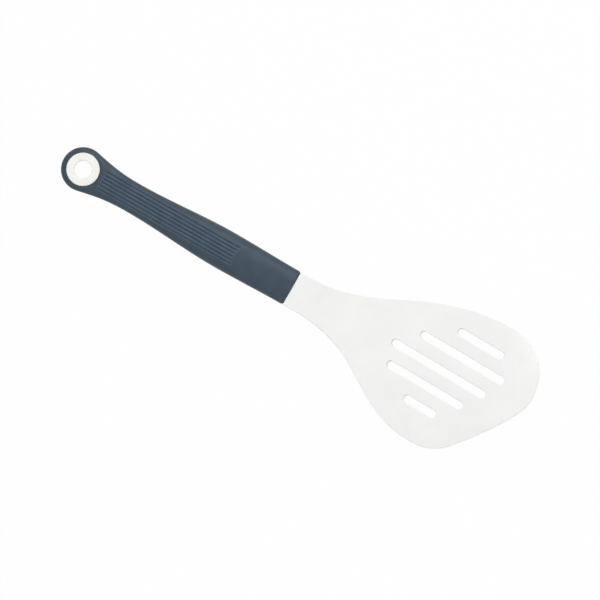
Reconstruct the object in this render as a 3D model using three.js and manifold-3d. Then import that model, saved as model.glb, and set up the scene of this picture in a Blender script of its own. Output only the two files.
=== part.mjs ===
// A slotted kitchen turner: a white silicone head moulded over a stiff insert, whose tang sits in a handle
// with a white core and a soft slate-blue grip. The core shows only as the ring round the hang hole.
// Millimetres, +Z up, lying face up on a table: x runs from the hang hole to the tip of the blade,
// y to the left of that and z up from the table.

import * as THREE from "three";
import { mergeVertices } from "three/addons/utils/BufferGeometryUtils.js";
import Module from "manifold-3d";

const wasm = await Module();
wasm.setup();

// Clearance between pieces that touch
const FIT = 0.3;

// Hang eye
const HOLE_RADIUS = 5.5;
const HOLE_LIP = 1.2;
const RING_WIDTH = 4.9;
const RING_RECESS = 0.5;
const RIM_WIDTH = 3.45;
const EYE_TOP = 9.6;
const EYE_SINK = 1.2;
const EYE_CROWN = 4;
const EYE_LEAVE = THREE.MathUtils.degToRad(12);
const EYE_FLANK = 0.42;
const KEY_RIB_HEIGHT = 3;

// Grip, from the hang hole forward: waist, belly and front end
const WAIST_AT = 36;
const WAIST_HALF = 9.5;
const WAIST_TOP = 13.4;
const WAIST_BOTTOM = 1;
const BELLY_AHEAD = 65;
const BELLY_HALF = 12.35;
const BELLY_TOP = 18.5;
const BELLY_BOTTOM = 2.5;
const FRONT_AHEAD = 48.1;
const FRONT_HALF = 11.6;
const FRONT_TOP = 17;
const FRONT_BOTTOM = 4.4;
const FRONT_ROUND = 1.4;
const GRIP_CROWN = 2.5;
const GRIP_WALL = 2.6;

// Finger grooves along the grip, on both faces
const GROOVE_COUNT = 6;
const GROOVE_PITCH = 2.3;
const GROOVE_RADIUS = 0.5;
const GROOVE_DEPTH = 0.42;
const GROOVE_FROM_EYE = 2.7;
const GROOVE_RUN_OUT = 1.6;
const PAD_LENGTH = 40.8;
const PAD_ROUND = 12.4;

// Windows through the core that the grip fills
const WINDOW_COUNT = 3;
const WINDOW_LENGTH = 12;
const WINDOW_WIDTH = 5;
const WINDOW_PITCH = 24;
const WINDOW_FROM_EYE = 12;

// Neck and blade, seen from above
const HEAD_LENGTH = 162.8;
const NECK_LEVEL = 8.5;
const TIP_SIDE = 12.6;
const LEFT_HALF = 46.2;
const LEFT_BACK = 31.4;
const RIGHT_HALF = 46.3;
const RIGHT_BACK = 47;
const LEFT_FLARE = [0.36, 0.455];
const LEFT_CORNER = [0.4, 0.745];
const RIGHT_CORNER = [0.36, 0.187];
const RIGHT_FLARE = [0.505, 0.485];

// Neck and blade, seen from the side
const HEEL_AHEAD = 44;
const HEEL_FLAT = 12;
const BEND_RADIUS = 50;
const BLADE_RISE = THREE.MathUtils.degToRad(13);
const NECK_BAR_THICKNESS = 6.6;
const NECK_SKIN = 1.7;
const PLATE_THICKNESS = 1.4;
const BLADE_SKIN = 1;
const LIP_THICKNESS = 1.8;

// Draining slots, left to right: land between the tip and the slot's front end, and the slot's length
const SLOT_LANDS = [28.2, 20.3, 26.2, 35.2, 47.3];
const SLOT_LENGTHS = [33.5, 61.1, 68.6, 55.4, 23.6];
const SLOT_WIDTH = 5;
const SLOT_PITCH = 13.1;
const SLOT_ROW_SIDE = 1.8;
const SLOT_TURN = THREE.MathUtils.degToRad(-1);

// Insert: margins inside the silicone, and the tang in the handle
const NECK_MARGIN = 2;
const BLADE_MARGIN = 8;
const PLATE_SETBACK = 14.5;
const PLATE_CORNER = 6;
const PLATE_SLOT_LIP = 1.5;
const TANG_LENGTH = 42;
const TANG_WIDTH = 13;
const TANG_TAPER = 3;
const TANG_THICKNESS = 5;
const TANG_HOLE_RADIUS = 2.5;
const TANG_HOLES_AT = [12, 28];

// Fineness of the facets: points of a section, and steps along each stretch
const OVAL_POINTS = 28;
const ROUND_STEPS = 3;
const LATHE_STEPS = 40;
const EYE_STEPS = 10;
const FLANK_STEPS = 6;
const GRIP_STEPS = 11;
const FRONT_STEPS = 4;
const GROOVE_STEPS = 11;
const NECK_STEPS = 9;
const BEND_STEPS = 3;
const BLADE_STEPS = 9;
const CORNER_STEPS = 12;
const HALVINGS = 40;
const LAST_TURN = THREE.MathUtils.degToRad(88);

// Places that follow from these sizes
const RING_RADIUS = HOLE_RADIUS + RING_WIDTH;
const EYE_RADIUS = RING_RADIUS + RIM_WIDTH;
const BELLY_AT = WAIST_AT + BELLY_AHEAD;
const GRIP_END = BELLY_AT + FRONT_AHEAD;
const NECK_START = GRIP_END + FIT;
const FLARE_START = GRIP_END + NECK_LEVEL;
const TIP_AT = GRIP_END + HEAD_LENGTH;
const NECK_THICKNESS = NECK_BAR_THICKNESS + 2 * NECK_SKIN;
const BLADE_THICKNESS = PLATE_THICKNESS + 2 * BLADE_SKIN;
const NECK_BOTTOM = (FRONT_TOP + FRONT_BOTTOM - NECK_THICKNESS) / 2;
const HEEL_START = GRIP_END + HEEL_AHEAD;
const HEEL_END = HEEL_START + HEEL_FLAT;
const BEND_END = HEEL_END + BEND_RADIUS * Math.sin(BLADE_RISE);
const PLATE_END = TIP_AT - PLATE_SETBACK;

// Curves along the tool

function cubic(...corners) {
  return new THREE.CubicBezierCurve(...corners.map(([x, y]) => new THREE.Vector2(x, y)));
}

// A smooth run between two stations that is level at both ends, with the share of each end that stays level.
function levelRun([x0, y0], [x1, y1], [leave, arrive] = [1 / 3, 1 / 3]) {
  const span = x1 - x0;
  return cubic([x0, y0], [x0 + leave * span, y0], [x1 - arrive * span, y1], [x1, y1]);
}

// A blade corner: it leaves its widest point level and meets the tip square to the axis.
function cornerRun([x0, y0], [x1, y1], [leave, arrive]) {
  return cubic([x0, y0], [x0 + leave * (x1 - x0), y0], [x1, y1 + arrive * (y0 - y1)], [x1, y1]);
}

// Reads a chain of curves that runs in +x at one x.
function along(chain, x) {
  const curve = chain.find((c) => x <= c.v3.x) ?? chain[chain.length - 1];
  let low = 0;
  let high = 1;
  for (let halving = 0; halving < HALVINGS; halving++) {
    const middle = (low + high) / 2;
    if (curve.getPoint(middle).x < x) low = middle;
    else high = middle;
  }
  return curve.getPoint(high).y;
}

function spaced(from, to, steps) {
  return Array.from({ length: steps + 1 }, (_, k) => from + ((to - from) * k) / steps);
}

// Grip outline: round eye, then waist, belly and front end

const leaveAt = new THREE.Vector2(Math.sin(EYE_LEAVE), Math.cos(EYE_LEAVE)).multiplyScalar(EYE_RADIUS);
const leaveReach = (WAIST_AT - leaveAt.x) * EYE_FLANK;
const eyeFlank = cubic(
  [leaveAt.x, leaveAt.y],
  [leaveAt.x + leaveReach * Math.cos(EYE_LEAVE), leaveAt.y - leaveReach * Math.sin(EYE_LEAVE)],
  [WAIST_AT - leaveReach, WAIST_HALF],
  [WAIST_AT, WAIST_HALF],
);
const gripSide = [
  eyeFlank,
  levelRun([WAIST_AT, WAIST_HALF], [BELLY_AT, BELLY_HALF]),
  levelRun([BELLY_AT, BELLY_HALF], [GRIP_END, FRONT_HALF]),
];
const gripTop = [
  levelRun([EYE_RADIUS, EYE_TOP], [WAIST_AT, WAIST_TOP]),
  levelRun([WAIST_AT, WAIST_TOP], [BELLY_AT, BELLY_TOP]),
  levelRun([BELLY_AT, BELLY_TOP], [GRIP_END, FRONT_TOP]),
];
const gripBottom = [
  levelRun([0, -EYE_SINK], [WAIST_AT, WAIST_BOTTOM]),
  levelRun([WAIST_AT, WAIST_BOTTOM], [BELLY_AT, BELLY_BOTTOM]),
  levelRun([BELLY_AT, BELLY_BOTTOM], [GRIP_END, FRONT_BOTTOM]),
];
const gripCrown = [levelRun([0, EYE_CROWN], [WAIST_AT, GRIP_CROWN])];

function gripSection(x, inset = 0) {
  const onSpine = THREE.MathUtils.clamp(x, 0, GRIP_END);
  const half = x < leaveAt.x ? Math.sqrt(EYE_RADIUS ** 2 - x ** 2) : along(gripSide, onSpine);
  const top = along(gripTop, onSpine) - inset;
  const bottom = along(gripBottom, onSpine) + inset;
  const power = along(gripCrown, Math.min(onSpine, WAIST_AT));
  return { half: half - inset, middle: (top + bottom) / 2, rise: (top - bottom) / 2, power };
}

// Height of the crowned skin over the middle at a side offset y: round the eye it falls off from the hole's
// axis.
function crownRise(x, y, { half, rise, power }) {
  const share = x < 0 ? Math.hypot(x, y) / EYE_RADIUS : Math.abs(y) / half;
  return rise * Math.max(0, 1 - share ** power) ** (1 / power);
}

function gripLoop(x, inset = 0) {
  const section = gripSection(x, inset);
  return spaced(0, 2 * Math.PI, OVAL_POINTS)
    .slice(0, -1)
    .map((angle) => {
      const y = section.half * Math.sign(Math.cos(angle)) * Math.abs(Math.cos(angle)) ** (2 / section.power);
      const height = Math.sign(Math.sin(angle)) * crownRise(x, y, section);
      return new THREE.Vector3(x, y, section.middle + height);
    });
}

// Head outline and thickness

const headLeft = [
  levelRun([GRIP_END, FRONT_HALF], [FLARE_START, FRONT_HALF]),
  levelRun([FLARE_START, FRONT_HALF], [TIP_AT - LEFT_BACK, LEFT_HALF], LEFT_FLARE),
  cornerRun([TIP_AT - LEFT_BACK, LEFT_HALF], [TIP_AT, TIP_SIDE], LEFT_CORNER),
];
const headRight = [
  levelRun([GRIP_END, -FRONT_HALF], [FLARE_START, -FRONT_HALF]),
  levelRun([FLARE_START, -FRONT_HALF], [TIP_AT - RIGHT_BACK, -RIGHT_HALF], RIGHT_FLARE),
  cornerRun([TIP_AT - RIGHT_BACK, -RIGHT_HALF], [TIP_AT, TIP_SIDE], RIGHT_CORNER),
];
const headThickness = [
  levelRun([GRIP_END, NECK_THICKNESS], [HEEL_START, BLADE_THICKNESS]),
  levelRun([HEEL_START, BLADE_THICKNESS], [PLATE_END, BLADE_THICKNESS]),
  levelRun([PLATE_END, BLADE_THICKNESS], [TIP_AT, LIP_THICKNESS]),
];
const neckUnderside = [levelRun([GRIP_END, NECK_BOTTOM], [HEEL_START, 0])];

// The neck comes down to the heel, which lies flat on the table, and the blade bends up from there.
function underside(x) {
  if (x < HEEL_START) return along(neckUnderside, x);
  if (x < HEEL_END) return 0;
  const past = x - HEEL_END;
  if (x < BEND_END) return BEND_RADIUS - Math.sqrt(BEND_RADIUS ** 2 - past ** 2);
  return BEND_RADIUS * (1 - Math.cos(BLADE_RISE)) + (x - BEND_END) * Math.tan(BLADE_RISE);
}

function headMiddle(x) {
  return underside(x) + along(headThickness, x) / 2;
}

// Sections down the neck, over the heel, up the blade and, closer together, round its front corner.
function headStations(cornerStart, cornerLength, lastTurn, cornerSteps) {
  const corner = spaced(0, lastTurn, cornerSteps).map((turn) => cornerStart + cornerLength * Math.sin(turn));
  return [
    ...spaced(NECK_START, HEEL_START, NECK_STEPS),
    ...spaced(HEEL_END, BEND_END, BEND_STEPS),
    ...spaced(BEND_END, cornerStart, BLADE_STEPS).slice(1),
    ...corner.slice(1),
  ];
}

// A flat section with fully round sides, from the right edge to the left one.
function flatLoop(x, left, right, middle, thickness) {
  const radius = Math.min(thickness, left - right) / 2;
  const side = (centre, from) =>
    spaced(from, from + Math.PI, 2 * ROUND_STEPS).map(
      (angle) =>
        new THREE.Vector3(x, centre + radius * Math.cos(angle), middle + (thickness / 2) * Math.sin(angle)),
    );
  return [...side(left - radius, -Math.PI / 2), ...side(right + radius, Math.PI / 2)];
}

// Solids

// Skins a row of section loops, each with as many points, and closes both ends.
function loft(loops) {
  const count = loops[0].length;
  const points = loops.flat();
  const index = [];
  const around = (row, k) => row * count + (k % count);
  for (let row = 0; row + 1 < loops.length; row++) {
    for (let k = 0; k < count; k++) {
      const [a, b] = [around(row, k), around(row, k + 1)];
      const [c, d] = [around(row + 1, k), around(row + 1, k + 1)];
      index.push(a, b, d, a, d, c);
    }
  }
  const last = loops.length - 1;
  const [startHub, endHub] = [points.length, points.length + 1];
  for (const loop of [loops[0], loops[last]]) {
    const hub = loop.reduce((sum, p) => sum.add(p), new THREE.Vector3());
    points.push(hub.divideScalar(count));
  }
  for (let k = 0; k < count; k++) {
    index.push(startHub, around(0, k + 1), around(0, k));
    index.push(endHub, around(last, k), around(last, k + 1));
  }
  return solidOf(new THREE.BufferGeometry().setFromPoints(points).setIndex(index));
}

function solidOf(geometry) {
  const bare = geometry.clone();
  bare.deleteAttribute("normal");
  bare.deleteAttribute("uv");
  const merged = mergeVertices(bare);
  return new wasm.Manifold(
    new wasm.Mesh({
      numProp: 3,
      vertProperties: merged.getAttribute("position").array,
      triVerts: merged.index.array,
    }),
  );
}

function geometryOf(solid) {
  const { vertProperties, triVerts } = solid.getMesh();
  const geometry = new THREE.BufferGeometry();
  geometry.setAttribute("position", new THREE.BufferAttribute(vertProperties, 3));
  geometry.setIndex(new THREE.BufferAttribute(triVerts, 1));
  geometry.computeVertexNormals();
  return geometry;
}

// A turned solid on the z axis through the hang hole, from (radius, height) corners that run upwards.
function turned(corners) {
  const profile = corners.map(([radius, height]) => new THREE.Vector2(radius, height));
  return solidOf(new THREE.LatheGeometry(profile, LATHE_STEPS).rotateX(Math.PI / 2));
}

// A straight prism with round ends, through z from low to high.
function stadiumPrism(from, to, radius, low, high) {
  const direction = to.clone().sub(from).angle();
  const outline = new THREE.Shape();
  outline.absarc(to.x, to.y, radius, direction - Math.PI / 2, direction + Math.PI / 2);
  outline.absarc(from.x, from.y, radius, direction + Math.PI / 2, direction + (3 * Math.PI) / 2);
  const settings = { depth: high - low, bevelEnabled: false, curveSegments: ROUND_STEPS };
  return new THREE.ExtrudeGeometry(outline, settings).translate(0, 0, low);
}

// Draining slots, square to the rising blade

const bladeFrame = new THREE.Matrix4().makeRotationY(-BLADE_RISE);
bladeFrame.setPosition(TIP_AT, SLOT_ROW_SIDE, headMiddle(TIP_AT));
const SLOT_REACH = 2 * HEAD_LENGTH * Math.sin(BLADE_RISE);

// One slot, its walls moved out by a lip.
function slotSolid(number, lip) {
  const side = ((SLOT_LANDS.length - 1) / 2 - number) * SLOT_PITCH;
  const length = SLOT_LENGTHS[number] - SLOT_WIDTH;
  const half = new THREE.Vector2(length / 2, 0).rotateAround(new THREE.Vector2(), SLOT_TURN);
  const centre = new THREE.Vector2(-SLOT_LANDS[number] - SLOT_LENGTHS[number] / 2, side);
  const [from, to] = [centre.clone().sub(half), centre.clone().add(half)];
  const prism = stadiumPrism(from, to, SLOT_WIDTH / 2 + lip, -SLOT_REACH, SLOT_REACH);
  return solidOf(prism.applyMatrix4(bladeFrame));
}

function withSlots(solid, lip) {
  return SLOT_LANDS.reduce((cut, _, number) => cut.subtract(slotSolid(number, lip)), solid);
}

// Blade insert

const insertMargin = [
  levelRun([GRIP_END, NECK_MARGIN], [HEEL_END, BLADE_MARGIN]),
  levelRun([HEEL_END, BLADE_MARGIN], [TIP_AT, BLADE_MARGIN]),
];
const insertThickness = [
  levelRun([GRIP_END, NECK_BAR_THICKNESS], [HEEL_START, PLATE_THICKNESS]),
  levelRun([HEEL_START, PLATE_THICKNESS], [TIP_AT, PLATE_THICKNESS]),
];

// Neck bar and plate, with every wall moved out by grow.
function insertBlade(grow) {
  const cornerStart = PLATE_END - PLATE_CORNER;
  const loops = headStations(cornerStart, PLATE_CORNER, Math.PI / 2, ROUND_STEPS).map((x) => {
    const intoCorner = Math.max(0, x - cornerStart);
    const rounded = PLATE_CORNER - Math.sqrt(PLATE_CORNER ** 2 - intoCorner ** 2);
    const margin = along(insertMargin, x) + rounded - grow;
    const [left, right] = [along(headLeft, x) - margin, along(headRight, x) + margin];
    return flatLoop(x, left, right, headMiddle(x), along(insertThickness, x) + 2 * grow);
  });
  for (const point of loops[0]) point.x -= grow;
  for (const point of loops[loops.length - 1]) point.x += grow;
  return withSlots(loft(loops), PLATE_SLOT_LIP - grow);
}

// Tang: tapers towards its end and has holes that the core's plastic keys into.
function insertTang(grow) {
  const middle = headMiddle(GRIP_END);
  const end = GRIP_END - TANG_LENGTH;
  const loops = [
    [end - grow, (TANG_WIDTH - TANG_TAPER) / 2],
    [NECK_START + grow, TANG_WIDTH / 2],
  ].map(([x, half]) => flatLoop(x, half + grow, -half - grow, middle, TANG_THICKNESS + 2 * grow));
  return TANG_HOLES_AT.reduce((tang, at) => {
    const hole = new THREE.CylinderGeometry(TANG_HOLE_RADIUS - grow, TANG_HOLE_RADIUS - grow, NECK_THICKNESS);
    return tang.subtract(solidOf(hole.rotateX(Math.PI / 2).translate(GRIP_END - at, 0, middle)));
  }, loft(loops));
}

const bladeInsert = insertBlade(0).add(insertTang(0));

// Silicone head

function outerHead() {
  const loops = headStations(TIP_AT - LEFT_BACK, LEFT_BACK, LAST_TURN, CORNER_STEPS).map((x) =>
    flatLoop(x, along(headLeft, x), along(headRight, x), headMiddle(x), along(headThickness, x)),
  );
  return loft(loops);
}

const siliconeHead = withSlots(outerHead(), 0).subtract(insertBlade(FIT)).subtract(insertTang(FIT));

// Handle core: ring land of the eye, bar, windows and socket for the tang

const eyeSection = gripSection(0);
const rimRise = crownRise(-RING_RADIUS, 0, eyeSection);
const RING_TOP = eyeSection.middle + rimRise - RING_RECESS;
const RING_BOTTOM = RING_RECESS;
const RING_MIDDLE = (RING_TOP + RING_BOTTOM) / 2;
const KEY_RIB_RADIUS = RING_RADIUS + RIM_WIDTH / 2;

// The eye's disc with the rib that keys the grip's rim, with every wall moved out by grow.
function eyeDisc(grow, low, high) {
  const rib = KEY_RIB_HEIGHT / 2 + grow;
  const radius = RING_RADIUS + grow;
  return turned([
    [0, low],
    [radius, low],
    [radius, RING_MIDDLE - rib],
    [KEY_RIB_RADIUS + grow, RING_MIDDLE - rib],
    [KEY_RIB_RADIUS + grow, RING_MIDDLE + rib],
    [radius, RING_MIDDLE + rib],
    [radius, high],
    [0, high],
  ]);
}

// The hang hole with its rounded lips.
function hangHole() {
  const lip = spaced(0, Math.PI / 2, ROUND_STEPS).map((a) => [
    HOLE_RADIUS + HOLE_LIP * (1 - Math.sin(a)),
    HOLE_LIP * (1 - Math.cos(a)),
  ]);
  const lower = lip.map(([radius, depth]) => [radius, RING_BOTTOM + depth]);
  const upper = lip.map(([radius, depth]) => [radius, RING_TOP - depth]).reverse();
  const mouth = HOLE_RADIUS + HOLE_LIP;
  const past = HOLE_LIP;
  return turned([
    [0, RING_BOTTOM - past],
    [mouth, RING_BOTTOM - past],
    ...lower,
    ...upper,
    [mouth, RING_TOP + past],
    [0, RING_TOP + past],
  ]);
}

function coreBar(grow) {
  const stations = [...spaced(0, WAIST_AT, FLANK_STEPS), ...spaced(WAIST_AT, GRIP_END, GRIP_STEPS).slice(1)];
  const loops = stations.map((x) => gripLoop(x, GRIP_WALL - grow));
  for (const point of loops[loops.length - 1]) point.x += grow;
  return loft(loops);
}

function coreWindows(grow) {
  const half = WINDOW_LENGTH / 2 - WINDOW_WIDTH / 2;
  const first = EYE_RADIUS + WINDOW_FROM_EYE + WINDOW_LENGTH / 2;
  return Array.from({ length: WINDOW_COUNT }, (_, k) => {
    const at = first + k * WINDOW_PITCH;
    const [from, to] = [new THREE.Vector2(at - half, 0), new THREE.Vector2(at + half, 0)];
    return solidOf(stadiumPrism(from, to, WINDOW_WIDTH / 2 - grow, 0, BELLY_TOP));
  });
}

function coreBody(grow) {
  return coreWindows(grow).reduce((bar, window) => bar.subtract(window), coreBar(grow));
}

const handleCore = coreBody(0)
  .add(eyeDisc(0, RING_BOTTOM, RING_TOP))
  .subtract(hangHole())
  .subtract(insertTang(FIT));

// Grip

function outerGrip() {
  const tail = spaced(LAST_TURN, 0, EYE_STEPS).map((turn) => -EYE_RADIUS * Math.sin(turn));
  const flank = spaced(leaveAt.x, WAIST_AT, FLANK_STEPS);
  const body = spaced(WAIST_AT, GRIP_END - FRONT_ROUND, GRIP_STEPS).slice(1);
  const front = spaced(0, Math.PI / 2, FRONT_STEPS).slice(1);
  const loops = [
    ...[...tail, ...flank, ...body].map((x) => gripLoop(x)),
    ...front.map((turn) =>
      gripLoop(GRIP_END - FRONT_ROUND * (1 - Math.sin(turn)), FRONT_ROUND * (1 - Math.cos(turn))),
    ),
  ];
  return loft(loops);
}

// One groove: a round cutter that follows the skin and runs out at both ends, on the top (1) or the
// underside (-1).
function groove(y, face) {
  const start = RING_RADIUS + GROOVE_FROM_EYE;
  const end = GRIP_END - PAD_LENGTH + PAD_ROUND - Math.sqrt(PAD_ROUND ** 2 - y ** 2);
  const skin = (x, lift) => {
    const section = gripSection(x);
    const height = crownRise(x, y, section) + GROOVE_RADIUS - GROOVE_DEPTH + lift;
    return new THREE.Vector3(x, y, section.middle + face * height);
  };
  const path = new THREE.CatmullRomCurve3([
    skin(start, GROOVE_DEPTH),
    ...spaced(start + GROOVE_RUN_OUT, end - GROOVE_RUN_OUT, GROOVE_STEPS).map((x) => skin(x, 0)),
    skin(end, GROOVE_DEPTH),
  ]);
  const section = new THREE.Shape().absarc(0, 0, GROOVE_RADIUS, 0, 2 * Math.PI);
  const settings = { steps: GROOVE_STEPS, curveSegments: ROUND_STEPS, extrudePath: path };
  return solidOf(new THREE.ExtrudeGeometry(section, settings));
}

function gripGrooves() {
  const sides = Array.from({ length: GROOVE_COUNT }, (_, k) => (k - (GROOVE_COUNT - 1) / 2) * GROOVE_PITCH);
  return [1, -1].flatMap((face) => sides.map((y) => groove(y, face)));
}

// The grip's underside is flat where the eye lies on the table.
function belowTable() {
  const block = new THREE.BoxGeometry(GRIP_END, 4 * EYE_RADIUS, 2 * EYE_SINK);
  return solidOf(block.translate(0, 0, -EYE_SINK));
}

const grip = gripGrooves()
  .reduce((skin, cutter) => skin.subtract(cutter), outerGrip())
  .subtract(belowTable())
  .subtract(eyeDisc(FIT, -2 * EYE_SINK, EYE_TOP + EYE_SINK))
  .subtract(coreBody(FIT));

// Assembly

function piece(name, solid, color, roughness) {
  const material = new THREE.MeshStandardMaterial({ color, roughness, metalness: 0 });
  const mesh = new THREE.Mesh(geometryOf(solid), material);
  mesh.name = name;
  return mesh;
}

const turner = new THREE.Group();
turner.add(
  piece("blade_insert", bladeInsert, "#e6e3da", 0.5),
  piece("silicone_head", siliconeHead, "#f2f2f0", 0.55),
  piece("handle_core", handleCore, "#f1f0eb", 0.35),
  piece("grip", grip, "#485762", 0.6),
);

// The origin lies on the table, under the middle of the tool.
const box = new THREE.Box3().setFromObject(turner);
const middle = box.getCenter(new THREE.Vector3());
turner.position.set(-middle.x, -middle.y, -box.min.z);

export default turner;
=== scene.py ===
import math

import bmesh
import bpy
import numpy as np
from mathutils import Matrix, Vector
from mathutils.geometry import interpolate_bezier


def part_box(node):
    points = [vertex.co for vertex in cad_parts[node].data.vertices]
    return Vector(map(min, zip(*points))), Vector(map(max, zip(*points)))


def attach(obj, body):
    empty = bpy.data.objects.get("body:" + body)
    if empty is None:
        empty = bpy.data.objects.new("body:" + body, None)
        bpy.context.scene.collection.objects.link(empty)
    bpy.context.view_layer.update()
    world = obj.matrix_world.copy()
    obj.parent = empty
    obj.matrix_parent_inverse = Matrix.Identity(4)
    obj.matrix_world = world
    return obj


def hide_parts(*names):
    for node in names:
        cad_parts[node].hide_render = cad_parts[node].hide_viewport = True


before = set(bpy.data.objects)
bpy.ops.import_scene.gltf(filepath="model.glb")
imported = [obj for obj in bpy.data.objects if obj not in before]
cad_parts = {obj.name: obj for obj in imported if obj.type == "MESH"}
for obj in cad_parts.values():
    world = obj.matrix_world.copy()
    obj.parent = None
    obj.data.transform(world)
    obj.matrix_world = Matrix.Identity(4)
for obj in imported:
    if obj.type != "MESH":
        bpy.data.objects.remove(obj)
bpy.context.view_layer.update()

# Blade insert: the stiffener sealed inside the head, with a tang that the handle grips.
# Moulded in one piece in glass-filled nylon, before the silicone is moulded round it.
# Nothing of it shows, so the CAD node stays and only gets its material.

MM_IN_METRE = 1000
# A noise pattern seldom leaves its middle range, so the two tones of a surface lie at these shares of it.
TONE_STOPS = (0.35, 0.65)


def linear(colour):
    """An sRGB hex colour as linear red, green, blue and alpha."""
    parts = [int(colour[at : at + 2], 16) / 255 for at in (1, 3, 5)]
    return [c / 12.92 if c <= 0.04045 else ((c + 0.055) / 1.055) ** 2.4 for c in parts] + [1]


def per_metre(size_mm):
    """The scale of a pattern whose marks are that many millimetres wide."""
    return MM_IN_METRE / size_mm


def add_node(tree, kind, sockets, **settings):
    """Adds a node with its settings, and gives each named socket a value or another node's output."""
    made = tree.nodes.new(kind)
    for name, value in settings.items():
        setattr(made, name, value)
    for name, value in sockets.items():
        if isinstance(value, bpy.types.NodeSocket):
            tree.links.new(value, made.inputs[name])
        else:
            made.inputs[name].default_value = value
    return made


def moulded_material(name, tones, blotch_mm, grain_mm, grain_height_mm, roughness, **sockets):
    """A moulded surface: two close tones in soft blotches, and the even grain of a spark-eroded mould,
    which also makes the gloss uneven."""
    material = bpy.data.materials.new(name)
    material.use_nodes = True
    tree = material.node_tree
    tree.nodes.clear()
    place = add_node(tree, "ShaderNodeTexCoord", {}).outputs["Object"]
    blotches = add_node(
        tree,
        "ShaderNodeTexNoise",
        {"Vector": place, "Scale": per_metre(blotch_mm), "Detail": 3.0, "Roughness": 0.55},
    )
    colour = add_node(tree, "ShaderNodeValToRGB", {"Fac": blotches.outputs["Fac"]})
    for stop, at, tone in zip(colour.color_ramp.elements, TONE_STOPS, tones):
        stop.position = at
        stop.color = linear(tone)
    grain = add_node(
        tree,
        "ShaderNodeTexNoise",
        {"Vector": place, "Scale": per_metre(grain_mm), "Detail": 2.0, "Roughness": 0.6},
    )
    gloss = add_node(
        tree,
        "ShaderNodeMapRange",
        {"Value": grain.outputs["Fac"], "To Min": roughness[0], "To Max": roughness[1]},
    )
    bump = add_node(
        tree,
        "ShaderNodeBump",
        {"Height": grain.outputs["Fac"], "Strength": 1.0, "Distance": grain_height_mm / MM_IN_METRE},
    )
    shader = add_node(
        tree,
        "ShaderNodeBsdfPrincipled",
        {
            "Base Color": colour.outputs["Color"],
            "Roughness": gloss.outputs["Result"],
            "Normal": bump.outputs["Normal"],
            **sockets,
        },
    )
    add_node(tree, "ShaderNodeOutputMaterial", {"Surface": shader.outputs["BSDF"]})
    return material


# Glass-filled nylon, moulded: dull off-white, with the glass showing as fine paler flecks.
# The fibres of about 0.3 mm wouldn't show, so their flecks are drawn at 0.8 mm.
glass_filled_nylon = moulded_material(
    "glass_filled_nylon_moulded",
    tones=("#dedacf", "#e9e6de"),
    blotch_mm=0.8,
    grain_mm=0.4,
    grain_height_mm=0.01,
    roughness=(0.45, 0.6),
    IOR=1.53,
)
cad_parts["blade_insert"].material_slots[0].material = glass_filled_nylon

# Silicone head: neck, flare and slotted paddle in one piece of soft white silicone.
# Moulded round the insert, with softened square sides and slots, and a thin lip along the slanted front.
# The heel lies on the table and the blade bends up from it.

# Millimetres round the hang hole, as the tool is measured: x to the tip, y to the left, z from the table.
EYE_REACH = 13.84
GRIP_END = 149.1
NECK_GAP = 0.05
NECK_HALF = 11.6
FLARE_START = 157.6
TIP = Vector((311.9, 12.6))
LEFT_WIDEST = Vector((280.5, 46.2))
RIGHT_WIDEST = Vector((260.4, -46.1))
FRONT_START = Vector((282.9, -35.7))
FRONT_SLANT = math.radians(50.6)
# How far the handles of the outline's curves reach, as shares of a curve's run or in millimetres.
LEFT_FLARE = (0.36, 0.455)
RIGHT_FLARE = (0.511, 0.43)
LEFT_CORNER = (0.4, 0.745)
RIGHT_CORNER_REACHES = (7.9, 9.9)
FRONT_REACHES = (7.9, 13)
CURVE_POINTS = 49

# The side view. The lip fades out towards both sides, over LIP_FADE of each front corner.
NECK_THICKNESS = 10
BLADE_THICKNESS = 3.4
LIP_THICKNESS = 1.8
LIP_DEPTH = 5
LIP_FADE = 0.4
NECK_BOTTOM = 5.7
NECK_ROUND = 0.5
NECK_ROUND_END = 161
NECK_ROUND_BELOW = 4
HEEL_START = 193.1
HEEL_END = 205.1
BEND_RADIUS = 50
BLADE_RISE = math.radians(13)
SLOPE_REACH = 0.5
SIDE_ROUND = 0.45
SIDE_STEPS = 5

# The slots from left to right: how far each stays behind the tip along the blade, and how long it is.
SLOT_LANDS = (28.2, 20.3, 26.2, 35.2, 47.3)
SLOT_LENGTHS = (33.5, 61.1, 68.6, 55.4, 23.6)
SLOT_WIDTH = 5
SLOT_PITCH = 13.1
SLOT_ROW_SIDE = 1.8
SLOT_TURN = math.radians(-1)
SLOT_ROUND = 0.55
SLOT_STEPS = 3
SLOT_POINTS = 36
ALL_SLOTS_AT = 259
CUT_STEP = 3

# Vertices closer than MERGE_GAP become one, and places closer than NEAR count as the same.
MERGE_GAP = 1e-4
NEAR = 1e-3
# A level face points up or down by more than LEVEL_FACE, and a wider angle than SHARP_EDGE stays sharp.
LEVEL_FACE = 0.5
SHARP_EDGE = math.radians(40)


def bow(*corners):
    """Points along a cubic from the first to the last of four corners, as an array."""
    return np.array(interpolate_bezier(*[Vector(c) for c in corners], CURVE_POINTS))


def flare(neck_side, widest, shares):
    """One side of the head, from the level neck to its widest place, level at both."""
    run = widest.x - FLARE_START
    return bow(
        (FLARE_START, neck_side),
        (FLARE_START + shares[0] * run, neck_side),
        (widest.x - shares[1] * run, widest.y),
        widest,
    )


def level_runs(x, *stations):
    """A size that goes smoothly from station to station along the tool and is level at each."""
    places, sizes = zip(*stations)
    number = min(max(np.searchsorted(places, x), 1), len(places) - 1)
    share = (x - places[number - 1]) / (places[number] - places[number - 1])
    share = min(max(share, 0), 1)
    return sizes[number - 1] + (sizes[number] - sizes[number - 1]) * share * share * (3 - 2 * share)


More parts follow.
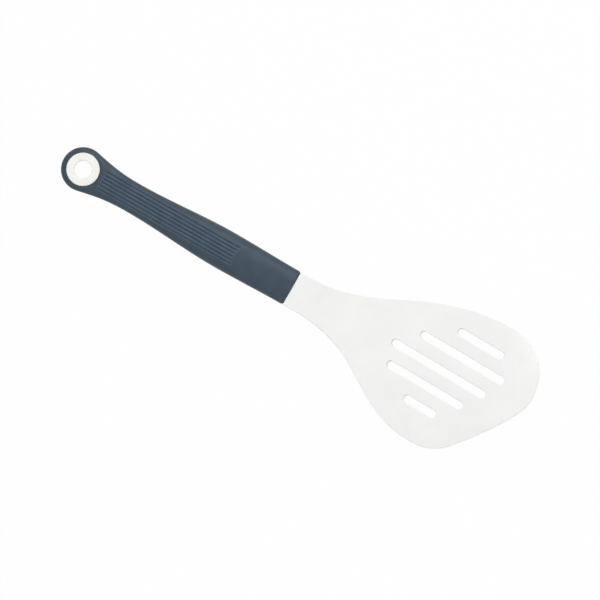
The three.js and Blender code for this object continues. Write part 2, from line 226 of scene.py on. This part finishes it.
left_flare = flare(NECK_HALF, LEFT_WIDEST, LEFT_FLARE)
right_flare = flare(-NECK_HALF, RIGHT_WIDEST, RIGHT_FLARE)
left_corner = bow(
    LEFT_WIDEST,
    (LEFT_WIDEST.x + LEFT_CORNER[0] * (TIP.x - LEFT_WIDEST.x), LEFT_WIDEST.y),
    (TIP.x, TIP.y + LEFT_CORNER[1] * (LEFT_WIDEST.y - TIP.y)),
    TIP,
)
slant = Vector((math.cos(FRONT_SLANT), math.sin(FRONT_SLANT)))
right_corner = np.concatenate(
    [
        bow(
            RIGHT_WIDEST,
            RIGHT_WIDEST + Vector((RIGHT_CORNER_REACHES[0], 0)),
            FRONT_START - RIGHT_CORNER_REACHES[1] * slant,
            FRONT_START,
        ),
        bow(
            FRONT_START,
            FRONT_START + FRONT_REACHES[0] * slant,
            TIP - Vector((0, FRONT_REACHES[1])),
            TIP,
        )[1:],
    ]
)
front_corners = (right_corner, left_corner)
front_edge = np.concatenate(front_corners)
front_share = np.concatenate([np.linspace(0, 1, len(corner)) for corner in front_corners])


def body_thickness(x):
    """Thickness of the head away from its lip."""
    return level_runs(x, (GRIP_END, NECK_THICKNESS), (HEEL_START, BLADE_THICKNESS))


def lip_loss(x, y):
    """What the front edge takes off the thickness."""
    away = np.hypot(front_edge[:, 0] - x, front_edge[:, 1] - y)
    nearest = away.argmin()
    loss = level_runs(away[nearest], (0, BLADE_THICKNESS - LIP_THICKNESS), (LIP_DEPTH, 0))
    return loss * level_runs(front_share[nearest], (0, 0), (LIP_FADE, 1))


def underside(x):
    """Height of the head's underside: down the neck, flat at the heel, then up the blade."""
    bend = BEND_RADIUS * math.sin(BLADE_RISE)
    past = x - HEEL_END
    if past < 0:
        return level_runs(x, (GRIP_END, NECK_BOTTOM), (HEEL_START, 0))
    if past < bend:
        return BEND_RADIUS - math.sqrt(BEND_RADIUS**2 - past**2)
    return BEND_RADIUS * (1 - math.cos(BLADE_RISE)) + (past - bend) * math.tan(BLADE_RISE)


def neck_place(x, y, height):
    """Where a point of the flat blank goes across the neck, which gets rounder below towards the grip."""
    left = np.interp(x, *left_flare.T)
    right = np.interp(x, *right_flare.T)
    middle, half = (left + right) / 2, (left - right) / 2
    if height > 0:
        rounding = level_runs(x, (GRIP_END, NECK_ROUND), (NECK_ROUND_END, SIDE_ROUND))
    else:
        rounding = level_runs(x, (GRIP_END, NECK_ROUND_BELOW), (HEEL_START, SIDE_ROUND))
    placed = []
    for size, blank_half, neck_half in (
        (y - middle, half, half),
        (height, BLADE_THICKNESS / 2, body_thickness(x) / 2),
    ):
        flat = abs(size) / (blank_half - SIDE_ROUND) * (neck_half - rounding)
        past = (abs(size) - blank_half) / SIDE_ROUND * rounding + neck_half
        in_flat = past < neck_half - rounding
        placed.append(math.copysign(min(flat, neck_half - rounding) if in_flat else past, size))
    return middle + placed[0], placed[1]


def head_shape(blank):
    """Where a point of the flat blank goes on the head, square to its bent middle."""
    x, y, lift = blank
    if x < HEEL_START:
        y, lift = neck_place(x, y, lift)
    lift *= 1 - lip_loss(x, y) / BLADE_THICKNESS
    behind, middle, ahead = [
        underside(at) + body_thickness(at) / 2 for at in (x - SLOPE_REACH, x, x + SLOPE_REACH)
    ]
    slope = math.atan((ahead - behind) / (2 * SLOPE_REACH))
    return Vector((x - lift * math.sin(slope), y, middle + lift * math.cos(slope)))


def everything(bm):
    """All of a mesh's vertices, edges and faces."""
    return bm.verts[:] + bm.edges[:] + bm.faces[:]


def shared_frame():
    """From millimetres round the hang hole to metres in the frame that the CAD pieces share."""
    low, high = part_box("grip")
    eye = Vector((low.x + EYE_REACH / MM_IN_METRE, (low.y + high.y) / 2, 0))
    return Matrix.Translation(eye) @ Matrix.Scale(1 / MM_IN_METRE, 4)


def finish_piece(bm, name, material, node):
    """Closes a piece's mesh, puts it in the shared frame and hides its CAD node."""
    bmesh.ops.remove_doubles(bm, verts=bm.verts, dist=MERGE_GAP)
    bmesh.ops.dissolve_degenerate(bm, dist=NEAR, edges=bm.edges)
    bmesh.ops.recalc_face_normals(bm, faces=bm.faces)
    bmesh.ops.transform(bm, matrix=shared_frame(), verts=bm.verts)
    mesh = bpy.data.meshes.new(name)
    bm.to_mesh(mesh)
    bm.free()
    mesh.materials.append(material)
    mesh.shade_smooth()
    mesh.set_sharp_from_angle(angle=SHARP_EDGE)
    piece = bpy.data.objects.new(name, mesh)
    bpy.context.scene.collection.objects.link(piece)
    even = piece.modifiers.new("even_shading", "WEIGHTED_NORMAL")
    even.keep_sharp = True
    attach(piece, "root")
    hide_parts(node)


# White platinum-cured silicone, moulded: even, milky and softly matt, with light bleeding a little into it.
# The mould's grain of about 0.1 mm wouldn't show, so it is drawn at 0.7 mm.
white_silicone = moulded_material(
    "white_silicone_moulded",
    tones=("#f0f0ee", "#f4f4f2"),
    blotch_mm=24,
    grain_mm=0.7,
    grain_height_mm=0.008,
    roughness=(0.42, 0.54),
    **{"IOR": 1.41, "Subsurface Weight": 0.12, "Subsurface Scale": 0.0008},
)

head = bmesh.new()
on_slot = head.edges.layers.int.new("on_slot")
neck_ends = [[(GRIP_END + NECK_GAP, side)] for side in (NECK_HALF, -NECK_HALF)]
outline = np.concatenate(
    [neck_ends[0], left_flare, left_corner[1:], right_corner[-2::-1], right_flare[-2::-1], neck_ends[1]]
)
corners = [head.verts.new((x, y, 0)) for x, y in outline]
for here, ahead in zip(corners, corners[1:] + corners[:1]):
    head.edges.new((here, ahead))

half_step = Matrix.Rotation(math.pi / SLOT_POINTS, 4, "Z")
slot_turn = Matrix.Rotation(SLOT_TURN, 4, "Z")
seen_from_above = Matrix.Diagonal((math.cos(BLADE_RISE), 1, 1, 1))
for number, (land, length) in enumerate(zip(SLOT_LANDS, SLOT_LENGTHS)):
    loop = bmesh.ops.create_circle(
        head, segments=SLOT_POINTS, radius=SLOT_WIDTH / 2, matrix=half_step
    )["verts"]
    for vert in loop:
        vert.co.x += math.copysign((length - SLOT_WIDTH) / 2, vert.co.x)
    across = SLOT_ROW_SIDE + (len(SLOT_LANDS) // 2 - number) * SLOT_PITCH
    along_blade = Matrix.Translation((-land - length / 2, 0, 0)) @ slot_turn
    slot_place = Matrix.Translation((TIP.x, across, 0)) @ seen_from_above @ along_blade
    bmesh.ops.transform(head, matrix=slot_place, verts=loop)
    for edge in {edge for vert in loop for edge in vert.link_edges}:
        edge[on_slot] = 1
bmesh.ops.triangle_fill(head, edges=head.edges, normal=(0, 0, 1), use_beauty=True)

# One cut across all five slots leaves two faces without holes, so the fill's own edges can go.
bmesh.ops.bisect_plane(head, geom=everything(head), plane_co=(ALL_SLOTS_AT, 0, 0), plane_no=(1, 0, 0))
fill_edges = [
    edge
    for edge in head.edges
    if not edge.is_boundary and max(abs(vert.co.x - ALL_SLOTS_AT) for vert in edge.verts) > NEAR
]
bmesh.ops.dissolve_edges(head, edges=fill_edges)

# The blank gets its thickness and the soft edges of its slots and sides while it is flat.
lifted = bmesh.ops.extrude_face_region(head, geom=head.faces[:], use_keep_orig=True)["geom"]
top = {item for item in lifted if isinstance(item, bmesh.types.BMVert)}
bmesh.ops.translate(head, verts=list(top), vec=(0, 0, BLADE_THICKNESS))
bmesh.ops.translate(head, verts=head.verts, vec=(0, 0, -BLADE_THICKNESS / 2))
bmesh.ops.recalc_face_normals(head, faces=head.faces)
head.normal_update()
rims = [
    edge
    for edge in head.edges
    if sorted(abs(face.normal.z) > LEVEL_FACE for face in edge.link_faces) == [False, True]
]
slot_rims = [edge for edge in rims if edge[on_slot]]
side_rims = [
    edge
    for edge in rims
    if not edge[on_slot] and max(vert.co.x for vert in edge.verts) > GRIP_END + 2 * NECK_GAP
]
for edges, radius, steps in ((slot_rims, SLOT_ROUND, SLOT_STEPS), (side_rims, SIDE_ROUND, SIDE_STEPS)):
    bmesh.ops.bevel(
        head,
        geom=edges,
        offset=radius,
        offset_type="OFFSET",
        affect="EDGES",
        segments=steps,
        profile=0.5,
        material=-1,
        clamp_overlap=False,
        loop_slide=False,
    )

# Cuts both ways let it bend.
for at in np.arange(GRIP_END + CUT_STEP, TIP.x, CUT_STEP):
    bmesh.ops.bisect_plane(head, geom=everything(head), plane_co=(at, 0, 0), plane_no=(1, 0, 0))
for at in np.arange(RIGHT_WIDEST.y + CUT_STEP, LEFT_WIDEST.y, CUT_STEP):
    bmesh.ops.bisect_plane(head, geom=everything(head), plane_co=(0, at, 0), plane_no=(0, 1, 0))
for vert in head.verts:
    vert.co = head_shape(vert.co)
finish_piece(head, "slotted_head", white_silicone, "silicone_head")

# Handle core: the hard bar inside the grip, with a ring at its end that is left bare round the hang hole.
# Moulded in white polypropylene; the tang of the insert sits in the socket at its front end.
# Only the ring shows, a little below the grip's rim, with a softly rounded hole.

HOLE_RADIUS = 5.5
HOLE_ROUND = 0.7
HOLE_STEPS = 6
RING_RADIUS = 10.4
RING_BOTTOM = 0.5
RING_TOP = 8.6
RING_ROUND = 0.25
RING_STEPS = 2
TURN_STEPS = 96
BAR_POINTS = 48
BAR_ROWS = 25
BAR_GAP = 0.35
GRIP_WALL = 2.6
SOCKET_END = 106
SOCKET_MOUTH_HALF = 7
SOCKET_END_HALF = 5.5
SOCKET_RISE = 2.9
SOCKET_FULLNESS = 8

# The outside of the handle, which the grip's skin has and the bar follows at the depth of the grip's wall.
EYE_RADIUS = 13.85
EYE_TOP = 9.6
EYE_SINK = 1.2
EYE_FULLNESS = 4
EYE_LEAVE = math.radians(12)
EYE_FLANK = 0.42
WAIST = 36
WAIST_HALF = 9.5
WAIST_TOP = 13.4
WAIST_BOTTOM = 1
BELLY = 101
BELLY_HALF = 12.35
BELLY_TOP = 18.5
BELLY_BOTTOM = 2.5
FRONT_HALF = 11.6
FRONT_TOP = 17
FRONT_BOTTOM = 4.4
GRIP_FULLNESS = 2.5

leave = Vector((math.sin(EYE_LEAVE), math.cos(EYE_LEAVE))) * EYE_RADIUS
leave_reach = (WAIST - leave.x) * EYE_FLANK
eye_flank = bow(
    leave,
    leave + leave_reach * Vector((math.cos(EYE_LEAVE), -math.sin(EYE_LEAVE))),
    (WAIST - leave_reach, WAIST_HALF),
    (WAIST, WAIST_HALF),
)


def grip_section(x, inset=0):
    """The section at x, drawn in by an inset: half width, middle height, half height and fullness."""
    if x < leave.x:
        half = math.sqrt(max(EYE_RADIUS**2 - x**2, 0))
    elif x < WAIST:
        half = np.interp(x, *eye_flank.T)
    else:
        half = level_runs(x, (WAIST, WAIST_HALF), (BELLY, BELLY_HALF), (GRIP_END, FRONT_HALF))
    upper = level_runs(
        x, (EYE_RADIUS, EYE_TOP), (WAIST, WAIST_TOP), (BELLY, BELLY_TOP), (GRIP_END, FRONT_TOP)
    ) - inset
    lower = level_runs(
        x, (0, -EYE_SINK), (WAIST, WAIST_BOTTOM), (BELLY, BELLY_BOTTOM), (GRIP_END, FRONT_BOTTOM)
    ) + inset
    fullness = level_runs(x, (0, EYE_FULLNESS), (WAIST, GRIP_FULLNESS))
    return half - inset, (upper + lower) / 2, (upper - lower) / 2, fullness


def oval_place(x, section, number):
    """A point of a full, rounded section, counted round it."""
    half, middle, rise, fullness = section
    turn = math.tau * number / BAR_POINTS
    across, up = [
        math.copysign(abs(share) ** (2 / fullness), share) for share in (math.cos(turn), math.sin(turn))
    ]
    return Vector((x, half * across, middle + rise * up))


def next_row(bm, edges, place):
    """Extrudes a row of edges, and puts each new vertex where its number in the row says."""
    number = bm.verts.layers.int["number"]
    made = bmesh.ops.extrude_edge_only(bm, edges=edges)["geom"]
    new = {item for item in made if isinstance(item, bmesh.types.BMVert)}
    for vert in new:
        vert.co = place(vert[number])
    made_edges = [item for item in made if isinstance(item, bmesh.types.BMEdge)]
    return [edge for edge in made_edges if new.issuperset(edge.verts)]


# White polypropylene, moulded: clean, faintly warm and satin, and a little waxy.
# Its flow marks are a few millimetres wide, and its mould's polish is drawn at 0.5 mm to show at all.
white_polypropylene = moulded_material(
    "white_polypropylene_moulded",
    tones=("#f2f2ed", "#f6f6f1"),
    blotch_mm=6,
    grain_mm=0.5,
    grain_height_mm=0.003,
    roughness=(0.3, 0.4),
    **{"IOR": 1.49, "Subsurface Weight": 0.08, "Subsurface Scale": 0.001},
)

core = bmesh.new()
profile = [
    core.verts.new((radius, 0, height))
    for radius, height in (
        (HOLE_RADIUS, RING_BOTTOM),
        (RING_RADIUS, RING_BOTTOM),
        (RING_RADIUS, RING_TOP),
        (HOLE_RADIUS, RING_TOP),
    )
]
for here, ahead in zip(profile, profile[1:] + profile[:1]):
    core.edges.new((here, ahead))
bmesh.ops.spin(
    core,
    geom=everything(core),
    cent=(0, 0, 0),
    axis=(0, 0, 1),
    angle=math.tau,
    steps=TURN_STEPS,
    use_merge=True,
)
bmesh.ops.remove_doubles(core, verts=core.verts, dist=MERGE_GAP)
for radius, size, steps in (
    (HOLE_RADIUS, HOLE_ROUND, HOLE_STEPS),
    (RING_RADIUS, RING_ROUND, RING_STEPS),
):
    circles = [
        edge
        for edge in core.edges
        if all(abs(vert.co.xy.length - radius) < NEAR for vert in edge.verts)
        and abs(edge.verts[0].co.z - edge.verts[1].co.z) < NEAR
    ]
    bmesh.ops.bevel(
        core, geom=circles, offset=size, affect="EDGES", segments=steps, profile=0.5, material=-1
    )

# The bar starts beside the ring, inside the grip, and turns in at the neck to line the socket.
number_layer = core.verts.layers.int.new("number")
bar_start = RING_RADIUS + BAR_GAP
bar_end = GRIP_END - NECK_GAP
bar_rows = np.linspace(bar_start, bar_end, BAR_ROWS)
bar_places = [(x, grip_section(x, GRIP_WALL)) for x in bar_rows]
socket_middle = NECK_BOTTOM + NECK_THICKNESS / 2
socket_places = [
    (x, (half, socket_middle, SOCKET_RISE, SOCKET_FULLNESS))
    for x, half in ((bar_end, SOCKET_MOUTH_HALF), (SOCKET_END, SOCKET_END_HALF))
]
bar = bmesh.ops.create_circle(core, cap_ends=True, segments=BAR_POINTS, radius=1)["verts"]
for number, vert in enumerate(bar):
    vert[number_layer] = number
    vert.co = oval_place(*bar_places[0], number)
row = list({edge for vert in bar for edge in vert.link_edges})
for x, section in bar_places[1:] + socket_places:
    row = next_row(core, row, lambda number: oval_place(x, section, number))
bmesh.ops.holes_fill(core, edges=row, sides=0)
finish_piece(core, "core_and_hang_ring", white_polypropylene, "handle_core")

# Grip: a soft slate-blue sleeve over the core, with a rim round the hang eye and a smooth pad at the front.
# Moulded in thermoplastic rubber, which bonds to the core; six grooves run along each face for hold.
# Its front end is rounded where the head's neck comes out.

SLEEVE_GAP = 0.05
BORE = RING_RADIUS + SLEEVE_GAP
RIM_ROUND = 0.5
RIM_STEPS = 4
RIM_TOP = 9.1
COLLAR_SLOPE = 0.5
EYE_JOIN = 12.3
FRONT_ROUND = 1.4
FRONT_STEPS = 6

GROOVE_COUNT = 6
GROOVE_PITCH = 2.3
GROOVE_HALF = 1.05
GROOVE_DEPTH = 0.66
GROOVE_START = 12.7
GROOVE_RUN_OUT = 1.6
PAD_LENGTH = 40.8
PAD_ROUND = 12.4
# Painted light among the ribs: how far it takes to fade in at the edge of the ribbed zone, and how much
# lighter it paints the rubber's colour.
RIB_LIGHT_FADE = 1.2
RIB_PAINTED_LIGHT = 1.36

# The mesh round the eye: rays out from the bore, with rows that crowd together towards the outside.
FLANK_RAYS = 10
TAIL_RAYS = 44
SKIN_ROWS = 16
ROW_CROWDING = 3
# The mesh along the handle: columns across each groove and out to the sides, and rows that lie close
# together where the grooves start and end.
GROOVE_COLUMNS = (-1.05, -0.8, -0.6, -0.4, -0.2, 0, 0.2, 0.4, 0.6, 0.8, 1.05)
SIDE_COLUMNS = 12
CLOSE_ROWS = 0.35
WIDE_ROWS = 2.2
FIRST_ROW = EYE_JOIN + 0.4
STARTS_END = GROOVE_START + 2
LONG_RUN = GROOVE_START + 3
ENDS_START = 106
ENDS_END = 111
PAD_START = 112
PAD_ROWS = 16
# A share of the half width is rounded to these decimals, so that a place on the outline counts as on it.
SHARE_DECIMALS = 5

grooves = [(number - (GROOVE_COUNT - 1) / 2) * GROOVE_PITCH for number in range(GROOVE_COUNT)]
ribs_half = grooves[-1] + GROOVE_COLUMNS[-1]


def groove_end(y):
    """Where the ribs end along the rounded edge of the pad."""
    return GRIP_END - PAD_LENGTH + PAD_ROUND - math.sqrt(max(0, PAD_ROUND**2 - y**2))


def painted_light_share(place):
    """1 among the ribs, where the base colour is painted lighter for the light the rounded ribs catch, and
    0 on the smooth skin, with a short fade between.
    """
    inside = min(ribs_half - abs(place.y), place.x - GROOVE_START, groove_end(place.y) - place.x)
    return min(max(0.5 + inside / RIB_LIGHT_FADE, 0), 1)


def groove_depth(x, y):
    """How far the groove that a place lies in sinks the skin; it leaves a round rib on each side."""
    side = min(grooves, key=lambda groove: abs(groove - y))
    end = groove_end(side)
    wall = 1 - math.sin(math.pi / 2 * min(abs(y - side) / GROOVE_HALF, 1))
    run = level_runs(
        x,
        (GROOVE_START, 0),
        (GROOVE_START + GROOVE_RUN_OUT, 1),
        (end - GROOVE_RUN_OUT, 1),
        (end, 0),
    )
    return GROOVE_DEPTH * run * wall


def skin_height(x, y, face, inset=0):
    """Height of the grip's skin on the top (1) or the underside (-1), flat where it meets the table."""
    half, middle, rise, fullness = grip_section(x, inset)
    share = math.hypot(x, y) / EYE_RADIUS if x < 0 else abs(y) / half
    share = round(share, SHARE_DECIMALS)
    crown = rise * max(0, 1 - share**fullness) ** (1 / fullness)
    return max(0, middle + face * (crown - groove_depth(x, y)))


def column_place(x, column, face, inset=0):
    """A point of a section: at a fixed side on a groove, or a share of the way from there to the edge."""
    side, share = column
    half, _, _, fullness = grip_section(x, inset)
    if share:
        start = math.asin((abs(side) / half) ** (fullness / 2))
        turn = start + (math.pi / 2 - start) * share
        side = math.copysign(half * math.sin(turn) ** (2 / fullness), side)
    return Vector((x, side, skin_height(x, side, face, inset)))


def collar_height(place, face):
    """Height of the skin near the eye, kept low round the ring."""
    out = max(0, place.length - BORE - RIM_ROUND)
    return min(skin_height(*place, face), RIM_TOP + COLLAR_SLOPE * out)


def eye_place(end, step, face):
    """A point of the eye's skin: up the bore, over its rounded edge and out to the end of its ray."""
    ahead = end.normalized()
    edge = ahead * (BORE + RIM_ROUND)
    if step <= RIM_STEPS:
        turn = math.pi / 2 * step / RIM_STEPS
        place = ahead * (BORE + RIM_ROUND * (1 - math.cos(turn)))
        drop = RIM_ROUND * (1 - math.sin(turn))
        return Vector((*place, collar_height(edge, face) - face * drop))
    left = 1 - (step - RIM_STEPS) / SKIN_ROWS
    place = edge.lerp(end, 1 - left**ROW_CROWDING)
    return Vector((*place, collar_height(place, face)))


# Slate-blue thermoplastic rubber, moulded: dull and soft to the touch, with a broad sheen, slightly cloudy.
# The mould's grain of about 0.15 mm wouldn't show, so it is drawn at 0.6 mm.
slate_rubber = moulded_material(
    "slate_thermoplastic_rubber_moulded",
    tones=("#2d3e4b", "#344552"),
    blotch_mm=7,
    grain_mm=0.6,
    grain_height_mm=0.02,
    roughness=(0.42, 0.54),
    **{"IOR": 1.5, "Specular IOR Level": 0.4},
)

# Among the ribs the same rubber's base colour is painted lighter: painted light that stands in for the
# light the rounded ribs catch.
rubber_tree = slate_rubber.node_tree
rubber_shader = rubber_tree.nodes["Principled BSDF"]
rubber_colour = rubber_shader.inputs["Base Color"].links[0].from_socket
rib_light_node = add_node(rubber_tree, "ShaderNodeAttribute", {}, attribute_name="painted_rib_light")
lift = add_node(
    rubber_tree,
    "ShaderNodeMapRange",
    {"Value": rib_light_node.outputs["Fac"], "To Min": 1.0, "To Max": RIB_PAINTED_LIGHT},
)
painted_light_colour = add_node(
    rubber_tree,
    "ShaderNodeHueSaturation",
    {"Value": lift.outputs["Result"], "Color": rubber_colour},
)
rubber_tree.links.new(painted_light_colour.outputs["Color"], rubber_shader.inputs["Base Color"])

inner_columns = [(groove + offset, 0) for groove in grooves for offset in GROOVE_COLUMNS]
shares = [number / SIDE_COLUMNS for number in range(1, SIDE_COLUMNS + 1)]
columns = [
    *[(inner_columns[0][0], share) for share in reversed(shares)],
    *inner_columns,
    *[(inner_columns[-1][0], share) for share in shares],
]
flank = [Vector((x, grip_section(x)[0])) for x in np.linspace(EYE_JOIN, 0, FLANK_RAYS)[1:-1]]
tail = [
    EYE_RADIUS * Vector((math.cos(turn), math.sin(turn)))
    for turn in np.linspace(math.pi / 2, 3 * math.pi / 2, TAIL_RAYS)
]
rays = [
    *[column_place(EYE_JOIN, column, 1).xy for column in columns],
    *flank,
    *tail,
    *[Vector((end.x, -end.y)) for end in reversed(flank)],
]

grip = bmesh.new()
number_layer = grip.verts.layers.int.new("number")
eye_middle = grip_section(0)[1]
bore = bmesh.ops.create_circle(grip, cap_ends=False, segments=len(rays), radius=BORE)["verts"]
for number, vert in enumerate(bore):
    vert[number_layer] = number
    vert.co = Vector((*(rays[number].normalized() * BORE), eye_middle))
bore_edges = grip.edges[:]
for face in (1, -1):
    row = bore_edges
    for step in range(RIM_STEPS + SKIN_ROWS + 1):
        row = next_row(grip, row, lambda number: eye_place(rays[number], step, face))
bmesh.ops.remove_doubles(grip, verts=grip.verts, dist=MERGE_GAP)

# The two faces now share their outer edge. The open edge that is left in front is one ring, and its
# numbers go on along the underside.
row = [edge for edge in grip.edges if edge.is_boundary]
for vert in {vert for edge in row for vert in edge.verts}:
    if vert.co.z < grip_section(EYE_JOIN)[1] - NEAR:
        vert[number_layer] += len(columns)


def ring_place(x, number, inset=0):
    """A point of the ring at x, counted over the top and then along the underside."""
    face = 1 if number < len(columns) else -1
    return column_place(x, columns[number % len(columns)], face, inset)


stations = [
    *np.arange(FIRST_ROW, STARTS_END, CLOSE_ROWS),
    *np.arange(LONG_RUN, ENDS_START, WIDE_ROWS),
    *np.arange(ENDS_START, ENDS_END, CLOSE_ROWS),
    *np.linspace(PAD_START, GRIP_END - FRONT_ROUND, PAD_ROWS),
]
for x in stations:
    row = next_row(grip, row, lambda number: ring_place(x, number))
for turn in np.linspace(0, math.pi / 2, FRONT_STEPS)[1:]:
    x = GRIP_END - FRONT_ROUND * (1 - math.sin(turn))
    inset = FRONT_ROUND * (1 - math.cos(turn))
    row = next_row(grip, row, lambda number: ring_place(x, number, inset))

# The sleeve is hollow: its front face runs in to the core, and the hollow ends before the eye.
hollow_rows = (bar_start - SLEEVE_GAP, *bar_rows[1:], GRIP_END)
hollow_places = [(x, grip_section(x, GRIP_WALL - SLEEVE_GAP)) for x in hollow_rows]
mouth = bmesh.ops.create_circle(grip, cap_ends=False, segments=BAR_POINTS, radius=1)["verts"]
for number, vert in enumerate(mouth):
    vert[number_layer] = number
    vert.co = oval_place(*hollow_places[-1], number)
mouth_edges = list({edge for vert in mouth for edge in vert.link_edges})
bmesh.ops.bridge_loops(grip, edges=row + mouth_edges)
row = mouth_edges
for x, section in reversed(hollow_places[:-1]):
    row = next_row(grip, row, lambda number: oval_place(x, section, number))
bmesh.ops.holes_fill(grip, edges=row, sides=0)

# Each vertex carries its share of the painted light among the ribs.
painted_rib_light = grip.verts.layers.float.new("painted_rib_light")
for vert in grip.verts:
    vert[painted_rib_light] = painted_light_share(vert.co)
finish_piece(grip, "soft_grip", slate_rubber, "grip")

# Stage: a white paper sweep under soft studio light, seen from straight above as in a catalogue picture.
# A broad soft box stands on the picture's upper side, a weaker one faces it, and the room adds even light.
# Together they light a level surface so that its colour shows as it is written.

# Metres in the shared frame, but millimetres for the lens.
SHEET_SIZE = 6
SHEET_DROP = 0.0001
SHEET_GLOW = 0.98
SHEET_GREY = "#dcdcdc"
WHITE = "#ffffff"
ROOM_LIGHT = 0.72
PICTURE_TURN = math.radians(29.7)
PICTURE_WIDTH = 0.372
PICTURE_MIDDLE = Vector((0.008038, -0.003755, 0.010))
LENS = 400
CAMERA_REACH = 20
# Where each soft box stands beside the tool and how high, how wide and deep it is, and its power in watts.
SOFT_BOXES = {
    "upper_soft_box": (0.86, 1.02, 1.6, 0.8, 7.7),
    "lower_soft_box": (-1.1, 0.75, 1.6, 1.0, 0.6),
}

sheet_bm = bmesh.new()
below_tool = Matrix.Translation((0, 0, -SHEET_DROP))
bmesh.ops.create_grid(sheet_bm, x_segments=1, y_segments=1, size=SHEET_SIZE / 2, matrix=below_tool)
sheet_mesh = bpy.data.meshes.new("paper_sweep")
sheet_bm.to_mesh(sheet_mesh)
sheet_bm.free()
sheet = bpy.data.objects.new("paper_sweep", sheet_mesh)
bpy.context.scene.collection.objects.link(sheet)


def seen_directly(tree):
    """1 for what is seen, straight or in a reflection or through glass, and 0 for light in the room."""
    ray = add_node(tree, "ShaderNodeLightPath", {})
    share = ray.outputs["Is Camera Ray"]
    for name in ("Is Glossy Ray", "Is Transmission Ray"):
        share = add_node(
            tree, "ShaderNodeMath", {0: share, 1: ray.outputs[name]}, operation="MAXIMUM"
        ).outputs["Value"]
    return share


# White paper, matt: it glows white for the camera, and keeps a faint shadow of what lies on it.
white_paper = bpy.data.materials.new("white_paper_matt")
white_paper.use_nodes = True
paper_tree = white_paper.node_tree
paper_tree.nodes.clear()
paper_glow = add_node(paper_tree, "ShaderNodeEmission", {"Color": linear(WHITE), "Strength": 1.0})
paper_face = add_node(paper_tree, "ShaderNodeBsdfDiffuse", {"Color": linear(SHEET_GREY)})
glow_share = add_node(
    paper_tree, "ShaderNodeMath", {0: seen_directly(paper_tree), 1: SHEET_GLOW}, operation="MULTIPLY"
)
paper_look = add_node(
    paper_tree,
    "ShaderNodeMixShader",
    {0: glow_share.outputs["Value"], 1: paper_face.outputs["BSDF"], 2: paper_glow.outputs["Emission"]},
)
add_node(paper_tree, "ShaderNodeOutputMaterial", {"Surface": paper_look.outputs["Shader"]})
sheet_mesh.materials.append(white_paper)

room = bpy.data.worlds.new("white_studio")
room.use_nodes = True
room_tree = room.node_tree
room_tree.nodes.clear()
room_level = add_node(
    room_tree,
    "ShaderNodeMapRange",
    {"Value": seen_directly(room_tree), "To Min": ROOM_LIGHT, "To Max": 1.0},
)
room_air = add_node(
    room_tree,
    "ShaderNodeBackground",
    {"Color": linear(WHITE), "Strength": room_level.outputs["Result"]},
)
add_node(room_tree, "ShaderNodeOutputWorld", {"Surface": room_air.outputs["Background"]})
bpy.context.scene.world = room
bpy.context.scene.view_settings.view_transform = "Standard"

for name, (side, height, width, depth, power) in SOFT_BOXES.items():
    soft_box = bpy.data.lights.new(name, "AREA")
    soft_box.shape = "RECTANGLE"
    soft_box.size = width
    soft_box.size_y = depth
    soft_box.energy = power
    lamp = bpy.data.objects.new(name, soft_box)
    bpy.context.scene.collection.objects.link(lamp)
    lamp.location = (0, side, height)
    lamp.rotation_euler = lamp.location.to_track_quat("Z", "Y").to_euler()

camera_data = bpy.data.cameras.new("catalogue_camera")
camera_data.lens = LENS
camera_data.clip_end = CAMERA_REACH
camera = bpy.data.objects.new("catalogue_camera", camera_data)
bpy.context.scene.collection.objects.link(camera)
camera.location = PICTURE_MIDDLE + Vector((0, 0, LENS / camera_data.sensor_width * PICTURE_WIDTH))
camera.rotation_euler = (0, 0, PICTURE_TURN)
bpy.context.scene.camera = camera
